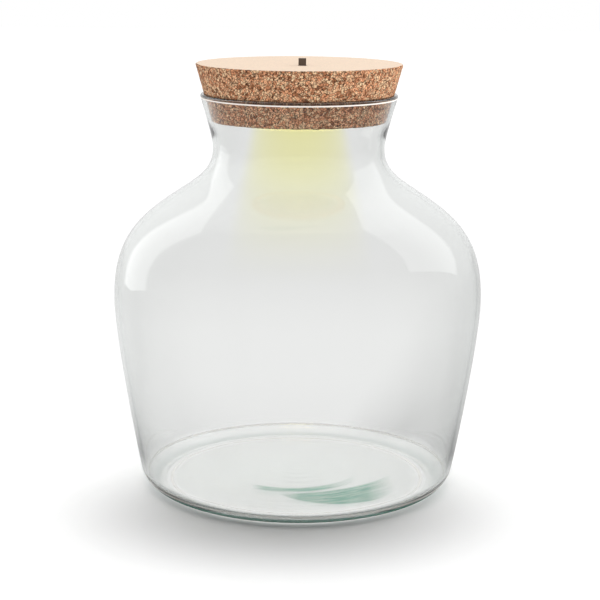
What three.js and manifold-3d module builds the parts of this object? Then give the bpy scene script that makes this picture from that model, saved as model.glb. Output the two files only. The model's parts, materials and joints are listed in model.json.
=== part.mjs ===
// Clear glass jar with a cork stopper that has a battery lamp built into it.
// Millimetres, +Z up. The origin is the centre of the ring that the jar stands on.
// The jar's opening side is up, and the lamp's switch is at the -Y side of the cork's top.

import * as THREE from 'three';
import { mergeVertices } from 'three/addons/utils/BufferGeometryUtils.js';
import Module from 'manifold-3d';

const wasm = await Module();
wasm.setup();

// ---------------------------------------------------------------- driving dimensions

const GAP = 0.3;                // running clearance between neighbouring pieces
const ROUND_SIDES = 64;         // facets round the jar and everything that fits it
const SMALL_SIDES = 32;         // facets round the lamp's small parts

// Jar: stations of its outer side, from the ring that it stands on up to the lip. lean is
// the outline's direction there, in degrees outwards from straight up, and before and after
// say how far the outline keeps to it on the way to the neighbouring stations.
const FOOT = { radius: 94.5, height: 0, lean: 90, after: 12.5 };
const HEEL = { radius: 112.5, height: 14, lean: 10.8, before: 4.5, after: 35 };
const BELLY = { radius: 130, height: 136, lean: 0, before: 24, after: 41.5 };
const SHOULDER = { radius: 84, height: 211, lean: -57, before: 35.5, after: 17.5 };
const THROAT = { radius: 60, height: 241.5, lean: 0, before: 14.5, after: 8 };
const LIP = { radius: 68.7, height: 277.9, lean: 13.5, before: 10 };
const WALL = 3;
const LIP_THICKNESS = 2.5;

// Jar's base: a flat ring round a slightly domed underside. The floor is highest at the
// axis, where the base is thickest, and runs out level to a low edge inside the heel.
const FOOT_WIDTH = 7;
const UNDERSIDE = { centreHeight: 2, centreReach: 30, edgeReach: 30 };
const FLOOR = {
  centreHeight: 6.8, centreReach: 30,
  edgeRadius: 92, edgeHeight: 3.2, edgeReach: 30, cornerReach: 12,
};

// Cork: a truncated cone, whose side the flared mouth follows.
const CORK = { topRadius: 72, topHeight: 300, bottomRadius: 61, bottomHeight: 261 };
const CORK_CHAMFER = 0.8;

// Lamp: an upside-down cup let into the cork, closed from below by a cap and a lens.
const HOUSING = { radius: 38, topHeight: 287.7, wall: 1.8 };
const CAP = {
  flangeRadius: 42, flangeThickness: 1.5, flangeBevel: 0.8,
  openingRadius: 31, lipThickness: 0.9, skirtWall: 1.6,
};
const DIFFUSER = { radius: 33.3, thickness: 1.4, sag: 2.6 };
const BOARD = { radius: 35.4, thickness: 1.6, bottomHeight: 266 };
const LED = { count: 6, width: 5, height: 1.5, ringRadius: 20 };
const RESISTOR = { length: 3.2, width: 1.6, height: 0.6 };

// Three AAA cells lie side by side along X in a tray below the cup's top plate.
const CELL = { radius: 5.25, length: 44.5, count: 3, pitch: 11, nubRadius: 1.9, nubLength: 0.8 };
const TRAY = { wall: 1.5, plate: 1.7, bottomHeight: 272 };
const CONTACT = { thickness: 0.4, width: 8, bottomHeight: 270.4, topHeight: 282.6 };

// Slide switch in a turret on the cup, with its lever through a slot in the cork's top.
const SWITCH = { x: 2, y: -19.5, travel: 3 };
const TURRET = { radius: 9.3, wall: 1.5, topHeight: 296.7 };
const SWITCH_BODY = { width: 9, length: 12, height: 7, pocketDepth: 3.7 };
const LEVER = { width: 5.2, length: 4, topHeight: 304.9, ribDepth: 0.4, ribs: 3 };
const WIRE_RADIUS = 0.7;

// ---------------------------------------------------------------- geometry helpers

/** Closed body of revolution about Z from [radius, height] points, outer side upwards. */
function lathe(profile, sides = SMALL_SIDES) {
  const points = profile.map(([radius, height]) => new THREE.Vector2(radius, height));
  return new THREE.LatheGeometry(points, sides).rotateX(Math.PI / 2);
}

/** Closed ring of revolution: the profile is joined back to its first point. */
function latheRing(profile, sides = SMALL_SIDES) {
  return lathe([...profile, profile[0]], sides);
}

function cylinder(radius, bottom, top, sides = SMALL_SIDES) {
  return lathe([[0, bottom], [radius, bottom], [radius, top], [0, top]], sides);
}

/** Box given by its lowest and highest corners. */
function box([x0, y0, z0], [x1, y1, z1]) {
  const geometry = new THREE.BoxGeometry(x1 - x0, y1 - y0, z1 - z0);
  return geometry.translate((x0 + x1) / 2, (y0 + y1) / 2, (z0 + z1) / 2);
}

/** Position-only copy with shared vertices merged and collapsed triangles left out. */
function welded(geometry) {
  const bare = new THREE.BufferGeometry();
  bare.setAttribute('position', geometry.getAttribute('position').clone());
  if (geometry.index) bare.setIndex(geometry.index.clone());
  const merged = mergeVertices(bare, 1e-4);
  const corners = merged.index.array;
  const kept = [];
  for (let i = 0; i < corners.length; i += 3) {
    const [a, b, c] = [corners[i], corners[i + 1], corners[i + 2]];
    if (a !== b && b !== c && c !== a) kept.push(a, b, c);
  }
  merged.setIndex(kept);
  return merged;
}

function solid(geometry) {
  const body = welded(geometry);
  return new wasm.Manifold(new wasm.Mesh({
    numProp: 3,
    vertProperties: new Float32Array(body.getAttribute('position').array),
    triVerts: new Uint32Array(body.index.array),
  }));
}

function fromSolid(body) {
  const mesh = body.getMesh();
  const geometry = new THREE.BufferGeometry();
  geometry.setAttribute('position', new THREE.BufferAttribute(mesh.vertProperties, 3));
  geometry.setIndex(new THREE.BufferAttribute(mesh.triVerts, 1));
  return geometry;
}

/** First geometry, with the second list joined to it and the third list cut from it. */
function carve(base, added, removed) {
  let body = solid(base);
  for (const geometry of added) body = body.add(solid(geometry));
  for (const geometry of removed) body = body.subtract(solid(geometry));
  return fromSolid(body);
}

const group = new THREE.Group();

function addPiece(name, geometry, material, place = {}) {
  const mesh = new THREE.Mesh(geometry, new THREE.MeshStandardMaterial(material));
  mesh.name = name;
  mesh.position.set(place.x ?? 0, place.y ?? 0, place.z ?? 0);
  mesh.rotation.z = place.turn ?? 0;
  group.add(mesh);
}

// ---------------------------------------------------------------- materials

const GLASS = { color: 0xe4ece8, roughness: 0.03, metalness: 0, transparent: true, opacity: 0.35 };
const CORK_FINISH = { color: 0xb98a5c, roughness: 0.9, metalness: 0 };
const WHITE_PLASTIC = { color: 0xf1f0ec, roughness: 0.5, metalness: 0 };
const FROSTED_PLASTIC = { color: 0xf6f1da, roughness: 0.6, metalness: 0 };
const BOARD_FINISH = { color: 0xe9e9e4, roughness: 0.45, metalness: 0 };
const LED_FINISH = { color: 0xf3e3a0, roughness: 0.4, metalness: 0 };
const DARK_PLASTIC = { color: 0x2b2926, roughness: 0.45, metalness: 0 };
const TRAY_PLASTIC = { color: 0x1e1e1f, roughness: 0.55, metalness: 0 };
const CELL_JACKET = { color: 0x4d6b58, roughness: 0.35, metalness: 0.2 };
const NICKEL = { color: 0xc9c8c3, roughness: 0.3, metalness: 1 };
const RED_WIRE = { color: 0xa8231c, roughness: 0.5, metalness: 0 };
const BLACK_WIRE = { color: 0x1b1b1b, roughness: 0.5, metalness: 0 };

// ---------------------------------------------------------------- jar

/** Point of an outline station, and its direction there as a unit vector. */
const at = ({ radius, height }) => new THREE.Vector2(radius, height);
const towards = ({ lean }) => {
  const angle = THREE.MathUtils.degToRad(lean);
  return new THREE.Vector2(Math.sin(angle), Math.cos(angle));
};

/** Cubic from one outline station up to the next. */
function bend(from, to) {
  return new THREE.CubicBezierCurve(
    at(from),
    at(from).addScaledVector(towards(from), from.after),
    at(to).addScaledVector(towards(to), -to.before),
    at(to),
  );
}

const heel = bend(FOOT, HEEL);
const lowerWall = bend(HEEL, BELLY);
const shoulderTurn = bend(BELLY, SHOULDER);
const neckTurn = bend(SHOULDER, THROAT);
const flare = bend(THROAT, LIP);

const pairs = (points) => points.map((point) => [point.x, point.y]);

/** Points along a curve, moved inwards by the wall's thickness. */
function innerPoints(curve, steps) {
  const points = [];
  for (let i = 0; i <= steps; i += 1) {
    const t = i / steps;
    const along = curve.getTangent(t);
    const point = curve.getPoint(t);
    points.push([point.x - WALL * along.y, point.y + WALL * along.x]);
  }
  return points;
}

/** Cork's radius at a height, and the angle that its side leans outwards. */
const corkRadiusAt = (height) => THREE.MathUtils.mapLinear(
  height, CORK.bottomHeight, CORK.topHeight, CORK.bottomRadius, CORK.topRadius);
const corkLean = THREE.MathUtils.radToDeg(Math.atan2(
  CORK.topRadius - CORK.bottomRadius, CORK.topHeight - CORK.bottomHeight));

/** The lip's round top: half a turn from the outer side over to the inner side. */
function lipPoints() {
  const bead = LIP_THICKNESS / 2;
  const steps = 5;
  const points = [];
  for (let i = 1; i <= steps; i += 1) {
    const angle = Math.PI * i / steps;
    points.push([LIP.radius - bead + bead * Math.cos(angle), LIP.height + bead * Math.sin(angle)]);
  }
  return points;
}

/** Curve from the axis out to an edge, level at both ends, for the underside and the floor. */
function crown({ centreHeight, centreReach, edgeRadius, edgeHeight, edgeReach }) {
  return new THREE.CubicBezierCurve(
    new THREE.Vector2(0, centreHeight), new THREE.Vector2(centreReach, centreHeight),
    new THREE.Vector2(edgeRadius - edgeReach, edgeHeight),
    new THREE.Vector2(edgeRadius, edgeHeight));
}

function jarProfile() {
  const underside = crown(
    { ...UNDERSIDE, edgeRadius: FOOT.radius - FOOT_WIDTH, edgeHeight: FOOT.height });
  const floor = crown(FLOOR);
  const [wallFoot] = innerPoints(lowerWall, 1);
  const corner = bend(
    { radius: FLOOR.edgeRadius, height: FLOOR.edgeHeight, lean: 90, after: FLOOR.cornerReach },
    { radius: wallFoot[0], height: wallFoot[1], lean: HEEL.lean, before: HEEL.before });
  const seatTurn = bend(
    { ...THROAT, radius: THROAT.radius - WALL },
    {
      radius: CORK.bottomRadius + GAP, height: CORK.bottomHeight, lean: corkLean,
      before: THROAT.after,
    });
  return [
    ...pairs(underside.getPoints(6)),
    ...pairs(heel.getPoints(5)),
    ...pairs(lowerWall.getPoints(6)).slice(1),
    ...pairs(shoulderTurn.getPoints(8)).slice(1),
    ...pairs(neckTurn.getPoints(4)).slice(1),
    ...pairs(flare.getPoints(3)).slice(1),
    ...lipPoints(),
    ...pairs(seatTurn.getPoints(3)).reverse(),
    ...innerPoints(neckTurn, 4).reverse().slice(1),
    ...innerPoints(shoulderTurn, 7).reverse().slice(1),
    ...innerPoints(lowerWall, 4).reverse().slice(1, -1),
    ...pairs(corner.getPoints(4)).reverse(),
    ...pairs(floor.getPoints(6)).reverse().slice(1),
  ];
}

addPiece('glass_jar', lathe(jarProfile(), ROUND_SIDES), GLASS);

// ---------------------------------------------------------------- cork stopper

const lidBore = HOUSING.topHeight + GAP;
const turretBoreTop = TURRET.topHeight + GAP;

/** The switch lever's way through a plate: its section, its travel and the clearance. */
function leverSlot(bottom, top) {
  const halfWidth = LEVER.width / 2 + GAP;
  const halfLength = (LEVER.length + SWITCH.travel) / 2 + GAP;
  return box(
    [SWITCH.x - halfWidth, SWITCH.y - halfLength, bottom],
    [SWITCH.x + halfWidth, SWITCH.y + halfLength, top]);
}

function corkStopper() {
  const cone = lathe([
    [0, CORK.bottomHeight],
    [CORK.bottomRadius - CORK_CHAMFER, CORK.bottomHeight],
    [corkRadiusAt(CORK.bottomHeight + CORK_CHAMFER), CORK.bottomHeight + CORK_CHAMFER],
    [corkRadiusAt(CORK.topHeight - CORK_CHAMFER), CORK.topHeight - CORK_CHAMFER],
    [CORK.topRadius - CORK_CHAMFER, CORK.topHeight],
    [0, CORK.topHeight],
  ], ROUND_SIDES);
  const pocket = cylinder(HOUSING.radius + GAP, CORK.bottomHeight - 1, lidBore, ROUND_SIDES);
  const bore = cylinder(TURRET.radius + GAP, lidBore - 1, turretBoreTop)
    .translate(SWITCH.x, SWITCH.y, 0);
  return carve(cone, [], [pocket, bore, leverSlot(turretBoreTop - 1, CORK.topHeight + 1)]);
}

addPiece('cork_stopper', corkStopper(), CORK_FINISH);

// ---------------------------------------------------------------- lamp shell

const platePlane = HOUSING.topHeight - HOUSING.wall;      // underside of the cup's top plate
const flangeTop = CORK.bottomHeight - GAP;
const flangeBottom = flangeTop - CAP.flangeThickness;
const skirtTop = BOARD.bottomHeight - GAP;
const skirtRadius = HOUSING.radius - HOUSING.wall - GAP;

function lampHousing() {
  const cup = cylinder(HOUSING.radius, CORK.bottomHeight, HOUSING.topHeight, ROUND_SIDES);
  const hollow = cylinder(
    HOUSING.radius - HOUSING.wall, CORK.bottomHeight - 1, platePlane, ROUND_SIDES);
  const turret = cylinder(TURRET.radius, platePlane, TURRET.topHeight)
    .translate(SWITCH.x, SWITCH.y, 0);
  const turretHollow = cylinder(
    TURRET.radius - TURRET.wall, platePlane - 1, TURRET.topHeight - TURRET.wall)
    .translate(SWITCH.x, SWITCH.y, 0);
  const slot = leverSlot(TURRET.topHeight - TURRET.wall - 1, TURRET.topHeight + 1);
  return carve(cup, [turret], [hollow, turretHollow, slot]);
}

/** Bayonet cap: a flange under the cork and a skirt up inside the cup. */
function lampCap() {
  return latheRing([
    [CAP.openingRadius, flangeBottom],
    [CAP.flangeRadius - CAP.flangeBevel, flangeBottom],
    [CAP.flangeRadius, flangeBottom + CAP.flangeBevel],
    [CAP.flangeRadius, flangeTop],
    [skirtRadius, flangeTop],
    [skirtRadius, skirtTop],
    [skirtRadius - CAP.skirtWall, skirtTop],
    [skirtRadius - CAP.skirtWall, flangeBottom + CAP.lipThickness],
    [CAP.openingRadius, flangeBottom + CAP.lipThickness],
  ], ROUND_SIDES);
}

/** Frosted lens: a rim that lies on the cap's lip and a shallow dome through the opening. */
function diffuser() {
  const rimBottom = flangeBottom + CAP.lipThickness + GAP;
  const domeRadius = CAP.openingRadius - GAP;
  const dome = (radius) => -DIFFUSER.sag * (1 - (radius / domeRadius) ** 2);
  const steps = 4;
  const under = [];
  const upper = [];
  for (let i = 0; i <= steps; i += 1) {
    const radius = domeRadius * i / steps;
    under.push([radius, rimBottom + dome(radius)]);
    upper.unshift([radius, rimBottom + DIFFUSER.thickness + dome(radius)]);
  }
  return lathe([
    ...under,
    [DIFFUSER.radius, rimBottom],
    [DIFFUSER.radius, rimBottom + DIFFUSER.thickness],
    ...upper,
  ], ROUND_SIDES);
}

addPiece('lamp_housing', lampHousing(), WHITE_PLASTIC);
addPiece('lamp_cap', lampCap(), WHITE_PLASTIC);
addPiece('lamp_diffuser', diffuser(), FROSTED_PLASTIC);

// ---------------------------------------------------------------- board and light chips

addPiece(
  'led_board',
  cylinder(BOARD.radius, BOARD.bottomHeight, BOARD.bottomHeight + BOARD.thickness, ROUND_SIDES),
  BOARD_FINISH,
);

/** Light chip: a square case with a shallow round lens on its underside. */
function ledChip() {
  const half = LED.width / 2;
  const lensRadius = half - 0.6;
  const caseSolid = box([-half, -half, -LED.height], [half, half, 0]);
  const lens = lathe([
    [0, -LED.height - 0.5],
    [lensRadius * 0.6, -LED.height - 0.4],
    [lensRadius, -LED.height],
    [lensRadius, -LED.height / 2],
    [0, -LED.height / 2],
  ], 16);
  return carve(caseSolid, [lens], []);
}

for (let i = 0; i < LED.count; i += 1) {
  const angle = 2 * Math.PI * i / LED.count;
  addPiece(`led_${i + 1}`, ledChip(), LED_FINISH, {
    x: LED.ringRadius * Math.cos(angle),
    y: LED.ringRadius * Math.sin(angle),
    z: BOARD.bottomHeight - GAP,
    turn: angle,
  });
}

addPiece('led_resistor', box(
  [-RESISTOR.length / 2, -RESISTOR.width / 2, BOARD.bottomHeight - GAP - RESISTOR.height],
  [RESISTOR.length / 2, RESISTOR.width / 2, BOARD.bottomHeight - GAP],
), DARK_PLASTIC);

// ---------------------------------------------------------------- cells, tray and contacts

const trayTop = platePlane - GAP;
const cellTop = trayTop - TRAY.plate - GAP;
const cellHeight = cellTop - CELL.radius;
const contactPlane = CELL.length / 2 + GAP;               // face of a contact towards the cells
const trayInside = {
  x: contactPlane + CONTACT.thickness + GAP,
  y: CELL.pitch * (CELL.count - 1) / 2 + CELL.radius + GAP,
};

function batteryTray() {
  const outside = { x: trayInside.x + TRAY.wall, y: trayInside.y + TRAY.wall };
  const block = box(
    [-outside.x, -outside.y, TRAY.bottomHeight], [outside.x, outside.y, trayTop]);
  const hollow = box(
    [-trayInside.x, -trayInside.y, TRAY.bottomHeight - 1],
    [trayInside.x, trayInside.y, trayTop - TRAY.plate]);
  return carve(block, [], [hollow]);
}

/** Cell lying along X, its raised end towards +X. */
function cell() {
  const shoulder = CELL.length / 2 - CELL.nubLength;
  return lathe([
    [0, -CELL.length / 2],
    [CELL.radius - 0.5, -CELL.length / 2],
    [CELL.radius, -CELL.length / 2 + 0.5],
    [CELL.radius, shoulder - 0.5],
    [CELL.radius - 0.5, shoulder],
    [CELL.nubRadius, shoulder],
    [CELL.nubRadius, CELL.length / 2],
    [0, CELL.length / 2],
  ], 24).rotateY(Math.PI / 2);
}

const cellRow = (index) => (index - (CELL.count - 1) / 2) * CELL.pitch;

addPiece('battery_tray', batteryTray(), TRAY_PLASTIC);
for (let i = 0; i < CELL.count; i += 1) {
  addPiece(`battery_${i + 1}`, cell(), CELL_JACKET, {
    y: cellRow(i),
    z: cellHeight,
    turn: i % 2 === 0 ? 0 : Math.PI,
  });
}

/** Upright contact plate at one end of the tray, over the given rows of cells. */
function contactPlate(side, firstRow, lastRow, bottom = CONTACT.bottomHeight) {
  const inner = side * contactPlane;
  const outer = side * (contactPlane + CONTACT.thickness);
  return box(
    [Math.min(inner, outer), cellRow(firstRow) - CONTACT.width / 2, bottom],
    [Math.max(inner, outer), cellRow(lastRow) + CONTACT.width / 2, CONTACT.topHeight]);
}

// Three cells in series: a bridge at each end, and a plate for each of the two free poles.
const boardTop = BOARD.bottomHeight + BOARD.thickness;
addPiece('contact_supply', contactPlate(-1, 0, 0), NICKEL);
addPiece('contact_bridge_1', contactPlate(1, 0, 1, TRAY.bottomHeight + 1), NICKEL);
addPiece('contact_bridge_2', contactPlate(-1, 1, 2, TRAY.bottomHeight + 1), NICKEL);
addPiece('contact_return', contactPlate(1, 2, 2, boardTop + GAP), NICKEL);

// ---------------------------------------------------------------- switch and wires

const bodyTop = TURRET.topHeight - TURRET.wall - GAP;
const bodyBottom = bodyTop - SWITCH_BODY.height;
const leverBottom = bodyTop - SWITCH_BODY.pocketDepth + GAP;

function switchBody() {
  const halfWidth = SWITCH_BODY.width / 2;
  const halfLength = SWITCH_BODY.length / 2;
  const block = box(
    [SWITCH.x - halfWidth, SWITCH.y - halfLength, bodyBottom],
    [SWITCH.x + halfWidth, SWITCH.y + halfLength, bodyTop]);
  return carve(block, [], [leverSlot(bodyTop - SWITCH_BODY.pocketDepth, bodyTop + 1)]);
}

/** Lever at its front stop: a square post with finger ribs across its top. */
function switchLever() {
  const y = SWITCH.y - SWITCH.travel / 2;
  const halfWidth = LEVER.width / 2;
  const halfLength = LEVER.length / 2;
  const post = box(
    [SWITCH.x - halfWidth, y - halfLength, leverBottom],
    [SWITCH.x + halfWidth, y + halfLength, LEVER.topHeight]);
  const pitch = LEVER.length / (LEVER.ribs * 2 - 1);
  const grooves = [];
  for (let i = 0; i < LEVER.ribs - 1; i += 1) {
    const start = y - halfLength + pitch * (1 + 2 * i);
    grooves.push(box(
      [SWITCH.x - halfWidth - 1, start, LEVER.topHeight - LEVER.ribDepth],
      [SWITCH.x + halfWidth + 1, start + pitch, LEVER.topHeight + 1]));
  }
  return carve(post, [], grooves);
}

/** Round insulated wire through hand-set points. */
function wire(points) {
  const section = new THREE.Shape().absarc(0, 0, WIRE_RADIUS, 0, 2 * Math.PI);
  const path = new THREE.CatmullRomCurve3(points.map((point) => new THREE.Vector3(...point)));
  return new THREE.ExtrudeGeometry(section, {
    extrudePath: path, steps: 14, curveSegments: 4, bevelEnabled: false,
  });
}

addPiece('switch_body', switchBody(), DARK_PLASTIC);
addPiece('switch_lever', switchLever(), DARK_PLASTIC);

const wireTop = bodyBottom - GAP;
addPiece('wire_supply', wire([
  [-22.7, cellRow(0), CONTACT.bottomHeight - GAP - 0.5],
  [-22.2, -15.5, 269.6],
  [-17, -21, 271],
  [-7, -23.5, 277],
  [-0.6, -23.2, 283],
  [-0.2, -23, wireTop],
]), RED_WIRE);
addPiece('wire_switched', wire([
  [4.2, -23, wireTop],
  [4.4, -23.2, 283],
  [5.8, -24.6, 277],
  [7.4, -24.2, 271.5],
  [7.6, -23.5, boardTop + GAP],
]), BLACK_WIRE);

export default group;
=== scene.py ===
"""Glass terrarium jar with a cork stopper that holds a battery lamp.

Laid out as a Blender add-on and run as a script. Every length is in metres, in the frame of
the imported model: +Z up, the origin on the surface under the jar's axis.
"""

import json
import math

import bmesh
import bpy
import numpy as np
from bpy.props import (
    FloatProperty,
    FloatVectorProperty,
    IntProperty,
    PointerProperty,
    StringProperty,
)
from mathutils import Euler, Matrix, Vector, noise


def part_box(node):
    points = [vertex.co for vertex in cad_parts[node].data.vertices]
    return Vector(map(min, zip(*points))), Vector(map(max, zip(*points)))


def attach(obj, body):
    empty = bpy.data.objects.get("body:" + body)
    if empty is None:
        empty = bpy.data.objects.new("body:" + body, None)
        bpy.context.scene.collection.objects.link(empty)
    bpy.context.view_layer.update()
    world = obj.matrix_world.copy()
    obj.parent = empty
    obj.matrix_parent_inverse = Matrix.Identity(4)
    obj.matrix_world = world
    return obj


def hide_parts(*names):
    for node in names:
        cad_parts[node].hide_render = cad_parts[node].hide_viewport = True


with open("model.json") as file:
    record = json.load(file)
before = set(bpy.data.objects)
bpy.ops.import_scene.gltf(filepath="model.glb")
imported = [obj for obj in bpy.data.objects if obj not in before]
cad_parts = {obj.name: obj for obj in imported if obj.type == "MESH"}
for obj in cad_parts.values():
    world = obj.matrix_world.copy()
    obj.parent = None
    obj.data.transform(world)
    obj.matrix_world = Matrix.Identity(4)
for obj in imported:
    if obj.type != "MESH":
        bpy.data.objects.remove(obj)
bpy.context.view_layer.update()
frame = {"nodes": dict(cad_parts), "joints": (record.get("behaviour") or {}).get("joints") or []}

bl_info = {
    "name": "Cork Lamp Terrarium Jar",
    "version": (1, 0, 0),
    "blender": (4, 5, 0),
    "location": "3D View > Sidebar > Terrarium",
    "description": "Builds a clear glass jar with a cork stopper and its battery lamp",
    "category": "Add Mesh",
}

SOFTBOX_LIT = "lit_by_softboxes"
MM = 0.001
GAP = 0.3 * MM

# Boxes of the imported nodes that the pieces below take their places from.
JAR_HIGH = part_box("glass_jar")[1]
CORK_LOW, CORK_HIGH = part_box("cork_stopper")
LEVER_LOW, LEVER_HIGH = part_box("switch_lever")
CAP_LOW, CAP_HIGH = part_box("lamp_cap")
LENS_LOW, LENS_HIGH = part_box("lamp_diffuser")
SWITCH_LOW, SWITCH_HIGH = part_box("switch_body")
HOUSING_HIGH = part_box("lamp_housing")[1]
SWITCH_TRAVEL = frame["joints"][0]["range_m"][1]


# ------------------------------------------------------------------ settings


def length(name, description, default):
    return FloatProperty(
        name=name, description=description, default=default, unit="LENGTH", precision=5
    )


def station(name, description, radius, height):
    return FloatVectorProperty(
        name=name,
        description=description + ": radius and height",
        default=(radius, height),
        size=2,
        unit="LENGTH",
        precision=5,
    )


def angle(name, description, degrees):
    return FloatProperty(
        name=name, description=description, default=math.radians(degrees), subtype="ANGLE"
    )


def amount(name, description, default):
    return FloatProperty(name=name, description=description, default=default, min=0.0)


def colour(name, description, default):
    return StringProperty(name=name, description=description + ", sRGB hex", default=default)


class TerrariumJarSettings(bpy.types.PropertyGroup):
    """Sizes and glass of the jar."""

    foot: station("Foot", "Outer edge of the flat ring that the jar stands on", 0.0945, 0.0)
    heel: station("Heel", "Where the rounded heel meets the wall", 0.1125, 0.014)
    belly: station("Belly", "Widest place", JAR_HIGH.x, 0.136)
    shoulder: station("Shoulder", "Where the shoulder turns over into the neck", 0.084, 0.211)
    throat: station("Throat", "Narrowest place", 0.060, 0.2415)
    lip: station("Lip", "Outer edge of the mouth below its rounded top", 0.0687, 0.2779)
    heel_lean: angle("Heel lean", "Outward lean of the wall at the heel", 10.8)
    shoulder_lean: angle("Shoulder lean", "Lean of the outline at the shoulder", -57.0)
    lip_lean: angle("Lip lean", "Outward lean of the outline at the lip", 13.5)
    wall: length("Wall", "Thickness of the glass wall", 0.003)
    lip_thickness: length("Lip thickness", "Thickness of the rounded lip", 0.0025)
    foot_width: length("Foot width", "Width of the flat ring", 0.007)
    base_thickness: length("Base thickness", "Thickness of the base at its edge", 0.0032)
    push_up: length("Push-up", "Rise of the underside at the axis", 0.0020)
    crown: length("Crown", "Height of the floor at the axis", 0.0068)
    floor_radius: length("Floor radius", "Radius where the floor turns up", 0.092)
    ripple_pitch: length("Ripple pitch", "Spacing of the faint rings in the floor", 0.009)
    ripple_depth: length("Ripple depth", "Height of the faint rings in the floor", 0.000008)
    facets: IntProperty(
        name="Facets", description="Faces round the jar", default=256, min=64, max=512
    )
    clear: colour("Clear glass", "What is left of white light behind one wall", "#fcfbfb")
    # Painted shade: the dark green of the crescent and arc in the floor, where light that the base
    # holds by reflection shows.
    crescent_shade: colour("Cords", "What is left of white light behind a green cord", "#4f967a")
    # Painted shade: green of thick glass, darkened to stand for the shade that shows where the heel
    # turns under.
    painted_heel_shade: colour("Heel", "Deep green where the heel turns under", "#3c6e60")
    # Matt white of the lip's painted highlight, of the heel's painted light band and of the worn
    # foot ring.
    painted_light_and_wear_white: colour("Ground lip", "Narrow seamed edge of the lip", "#f6efe8")
    tint: colour("Tint", "Colour of a long way through the glass", "#8fe0c6")
    density: amount("Tint density", "Absorption per metre of glass", 9.0)


class TerrariumCorkSettings(bpy.types.PropertyGroup):
    """Sizes and colours of the cork stopper."""

    top_radius: length("Top radius", "Radius of the cork's top face", 0.072)
    bottom_radius: length("Bottom radius", "Radius of the cork's underside", 0.061)
    round_over: length("Round-over", "Radius of the worn edges", 0.0008)
    granule: length("Granule", "Width of a cork granule", 0.0018)
    relief: length("Relief", "Depth of the gaps between granules on the side", 0.00045)
    top_relief: length("Top relief", "Depth of the gaps on the sanded top", 0.00012)
    grid: length("Grid", "Spacing of the mesh that carries the relief", 0.0006)
    # Painted shade: a dark line on the cork just above the jar's lip.
    painted_shade_height: length("Rub height", "Middle of the dark line that the lip has rubbed", 0.2782)
    dark: colour("Dark granules", "Bark-rich granules", "#9c6340")
    middle: colour("Middle granules", "Most of the granules", "#f9b082")
    light: colour("Light granules", "Clean granules", "#ffdcb0")
    # Dark of the pores and gaps: partly their own colour, partly painted shade in the crevices.
    gap: colour("Gaps", "Pores and gaps between the granules", "#2f170c")
    # Pale top: partly sanding dust, partly painted light from above.
    top: colour("Sanded top", "Pale dust-filled top face", "#ecd8c3")


class TerrariumLampSettings(bpy.types.PropertyGroup):
    """Colours and light of the lamp in the stopper."""

    lever: colour("Lever", "Moulded switch lever", "#4a3a2c")
    shell: colour("Shell", "Moulded lamp shell", "#f1f0ec")
    lens: colour("Lens", "Frosted lens", "#f6f1da")
    warm: colour("Light", "Colour of the lamp's light", "#ffe9a0")
    glow: amount("Glow", "Radiance of the lit lens", 2.5)
    beam_top: length("Beam top", "Radius of the light cone at the lens", 0.036)
    beam_end: length("Beam end", "Radius of the light cone where it has faded", 0.062)
    beam_reach: length("Beam reach", "Distance over which the light cone fades", 0.115)
    beam_tint: colour("Beam tint", "Colour that the light cone takes on", "#fbf8a0")
    beam_density: amount("Beam density", "Strength of the light cone per metre", 18.0)
    beam_light: amount("Beam light", "Radiance that the light cone adds by strength", 0.035)


class TerrariumStudioSettings(bpy.types.PropertyGroup):
    """Floor, lights and camera."""

    camera_distance: length("Camera distance", "From the jar's axis, level", 1.162)
    camera_height: length("Camera height", "Above the floor", 0.385)
    camera_aside: length("Camera offset", "Sideways, to the right", 0.0017)
    camera_pitch: angle("Camera pitch", "Downward tilt", 12.27)
    camera_roll: angle("Camera roll", "Tilt of the picture about its centre", 0.45)
    lens: amount("Lens", "Focal length in millimetres on a 36 mm sensor", 100.0)
    # Grey under even light; the painted glow brings it up to white, and the painted shadow is where
    # that glow is missing.
    floor: colour("Floor", "Opal white floor", "#b4b4b4")
    under_jar: amount("Floor glow under the jar", "Radiance that the floor adds there", 0.57)
    shadow_shift: length("Shadow shift", "How far forwards the shadow's middle lies", 0.078)
    far_floor: amount("Floor glow far away", "Radiance that the floor adds there", 0.64)
    room: amount("Room", "Radiance of the even light from all round", 1.0)
    behind_glass: amount("Room behind glass", "The same for what stands behind glass", 2.5)
    backdrop: amount("Backdrop", "Share of its light that the floor keeps far behind", 0.905)
    flag: amount("Flags", "Radiance at the sides, as the glass mirrors it", 0.45)
    front: amount("Front", "Radiance in front, as the glass mirrors it", 0.34)
    right_share: amount("Right share", "How much of that the right side keeps", 0.82)
    softbox: amount("Soft-box", "Radiance of the two soft-boxes", 0.65)
    fill: amount("Fill", "Radiance of the fill light on the right", 1.9)
    softbox_distance: length("Soft-box distance", "From the jar's axis", 1.5)


# ------------------------------------------------------------------ small tools


def linear(code):
    """Linear RGBA of an sRGB hex colour."""
    channels = [int(code[i : i + 2], 16) / 255 for i in (1, 3, 5)]
    return (
        *[c / 12.92 if c <= 0.04045 else ((c + 0.055) / 1.055) ** 2.4 for c in channels],
        1.0,
    )


def grey(level):
    """Linear RGBA of an even grey."""
    return (level, level, level, 1.0)


def dimmed(shade, share):
    """A linear colour at a share of its strength."""
    return (*[share * channel for channel in shade[:3]], 1.0)


def new_material(name):
    """A new material, its node tree and the place on the object that it shades, in metres."""
    material = bpy.data.materials.new(name)
    material.use_nodes = True
    tree = material.node_tree
    tree.nodes.clear()
    return material, tree, add(tree, "TexCoord").outputs["Object"]


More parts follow.
